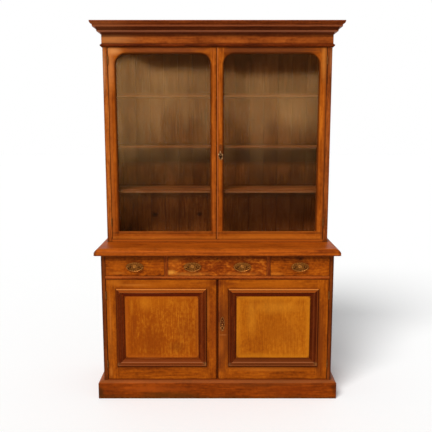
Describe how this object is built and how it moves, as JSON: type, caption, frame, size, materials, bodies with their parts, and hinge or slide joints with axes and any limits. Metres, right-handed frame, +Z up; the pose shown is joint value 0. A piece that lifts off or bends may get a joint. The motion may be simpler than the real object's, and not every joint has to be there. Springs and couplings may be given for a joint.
{
  "type": "glazed bookcase",
  "caption": "Tall wooden bookcase in two parts: a cupboard with panelled doors and a row of drawers, and a set-back case with arched-corner glazed doors under a moulded cornice.",
  "frame": {"origin": "on the floor, under the middle of the whole outline", "axes": "+Z up, +X to the right as seen from the front, and the doors and drawers face -Y"},
  "size_m": [1.518, 0.556, 2.28],
  "materials": {
    "oiled_wood": "waxed satin",
    "dark_moulding": "waxed satin",
    "golden_panel": "waxed satin",
    "burr_veneer": "waxed satin",
    "inside_wood": "plain",
    "aged_brass": "aged",
    "steel_bolt": "dull",
    "window_glass": "clear"
  },
  "bodies": {
    "carcass": {"plinth_front": "oiled_wood", "plinth_sides": "oiled_wood", "plinth_backing": "inside_wood", "base_side_left": "oiled_wood", "base_side_right": "oiled_wood", "base_floor": "inside_wood", "base_back_boards": "inside_wood", "cupboard_shelf": "inside_wood", "cupboard_bearers": "inside_wood", "drawer_rail": "oiled_wood", "drawer_dividers": "oiled_wood", "drawer_runners": "inside_wood", "waist_top": "oiled_wood", "upper_side_left": "oiled_wood", "upper_side_right": "oiled_wood", "upper_floor": "inside_wood", "upper_roof": "inside_wood", "upper_back_boards": "inside_wood", "book_shelves": "inside_wood", "shelf_pins": "steel_bolt", "frieze_boards": "oiled_wood", "astragal_moulding": "oiled_wood", "cornice_moulding": "dark_moulding", "dust_board": "inside_wood", "carcass_hinge_halves": "aged_brass"},
    "upper_left_door": {"upper_left_door_frame": "oiled_wood", "upper_left_glass": "window_glass", "upper_left_glazing_beads": "oiled_wood", "upper_left_door_fittings": "aged_brass"},
    "upper_left_slip_bolt": {"upper_slip_bolt": "aged_brass"},
    "upper_right_door": {"upper_right_door_frame": "oiled_wood", "upper_right_glass": "window_glass", "upper_right_glazing_beads": "oiled_wood", "upper_right_door_fittings": "aged_brass", "upper_escutcheon": "aged_brass"},
    "upper_right_lock_bolt": {"upper_lock_bolt": "steel_bolt"},
    "base_left_door": {"base_left_door_frame": "oiled_wood", "base_left_panel": "golden_panel", "base_left_panel_moulding": "dark_moulding", "base_left_door_fittings": "aged_brass"},
    "base_left_slip_bolt": {"base_slip_bolt": "aged_brass"},
    "base_right_door": {"base_right_door_frame": "oiled_wood", "base_right_panel": "golden_panel", "base_right_panel_moulding": "dark_moulding", "base_right_door_fittings": "aged_brass", "base_escutcheon": "aged_brass"},
    "base_right_lock_bolt": {"base_lock_bolt": "steel_bolt"},
    "left_drawer": {"left_drawer_front": "oiled_wood", "left_drawer_box": "inside_wood", "left_drawer_fittings": "aged_brass"},
    "centre_drawer": {"centre_drawer_front": "burr_veneer", "centre_drawer_box": "inside_wood", "centre_drawer_fittings": "aged_brass"},
    "right_drawer": {"right_drawer_front": "oiled_wood", "right_drawer_box": "inside_wood", "right_drawer_fittings": "aged_brass"},
    "left_bail": {"left_drawer_bail": "aged_brass"},
    "centre_left_bail": {"centre_drawer_bail_left": "aged_brass"},
    "centre_right_bail": {"centre_drawer_bail_right": "aged_brass"},
    "right_bail": {"right_drawer_bail": "aged_brass"}
  },
  "joints": [
    {"name": "upper_left_door_hinge", "type": "hinge", "parent": "carcass", "child": "upper_left_door", "pos_m": [-0.66425, -0.0363, 1.5425], "axis": [0, 0, -1], "range_deg": [0, 150]},
    {"name": "upper_right_door_hinge", "type": "hinge", "parent": "carcass", "child": "upper_right_door", "pos_m": [0.66425, -0.0363, 1.5425], "axis": [0, 0, 1], "range_deg": [0, 150]},
    {"name": "base_left_door_hinge", "type": "hinge", "parent": "carcass", "child": "base_left_door", "pos_m": [-0.674, -0.2483, 0.4305], "axis": [0, 0, -1], "range_deg": [0, 150]},
    {"name": "base_right_door_hinge", "type": "hinge", "parent": "carcass", "child": "base_right_door", "pos_m": [0.674, -0.2483, 0.4305], "axis": [0, 0, 1], "range_deg": [0, 150]},
    {"name": "upper_lock_bolt_throw", "type": "slide", "parent": "upper_right_door", "child": "upper_right_lock_bolt", "axis": [-1, 0, 0], "range_m": [0, 0.008]},
    {"name": "base_lock_bolt_throw", "type": "slide", "parent": "base_right_door", "child": "base_right_lock_bolt", "axis": [-1, 0, 0], "range_m": [0, 0.008]},
    {"name": "upper_slip_bolt_throw", "type": "slide", "parent": "upper_left_door", "child": "upper_left_slip_bolt", "axis": [0, 0, 1], "range_m": [0, 0.014]},
    {"name": "base_slip_bolt_throw", "type": "slide", "parent": "base_left_door", "child": "base_left_slip_bolt", "axis": [0, 0, 1], "range_m": [0, 0.014]},
    {"name": "left_drawer_slide", "type": "slide", "parent": "carcass", "child": "left_drawer", "axis": [0, -1, 0], "range_m": [0, 0.36]},
    {"name": "centre_drawer_slide", "type": "slide", "parent": "carcass", "child": "centre_drawer", "axis": [0, -1, 0], "range_m": [0, 0.36]},
    {"name": "right_drawer_slide", "type": "slide", "parent": "carcass", "child": "right_drawer", "axis": [0, -1, 0], "range_m": [0, 0.36]},
    {"name": "left_bail_swing", "type": "hinge", "parent": "left_drawer", "child": "left_bail", "pos_m": [-0.497, -0.2545, 0.826], "axis": [-1, 0, 0], "range_deg": [0, 95]},
    {"name": "centre_left_bail_swing", "type": "hinge", "parent": "centre_drawer", "child": "centre_left_bail", "pos_m": [-0.15, -0.2545, 0.826], "axis": [-1, 0, 0], "range_deg": [0, 95]},
    {"name": "centre_right_bail_swing", "type": "hinge", "parent": "centre_drawer", "child": "centre_right_bail", "pos_m": [0.15, -0.2545, 0.826], "axis": [-1, 0, 0], "range_deg": [0, 95]},
    {"name": "right_bail_swing", "type": "hinge", "parent": "right_drawer", "child": "right_bail", "pos_m": [0.497, -0.2545, 0.826], "axis": [-1, 0, 0], "range_deg": [0, 95]}
  ]
}
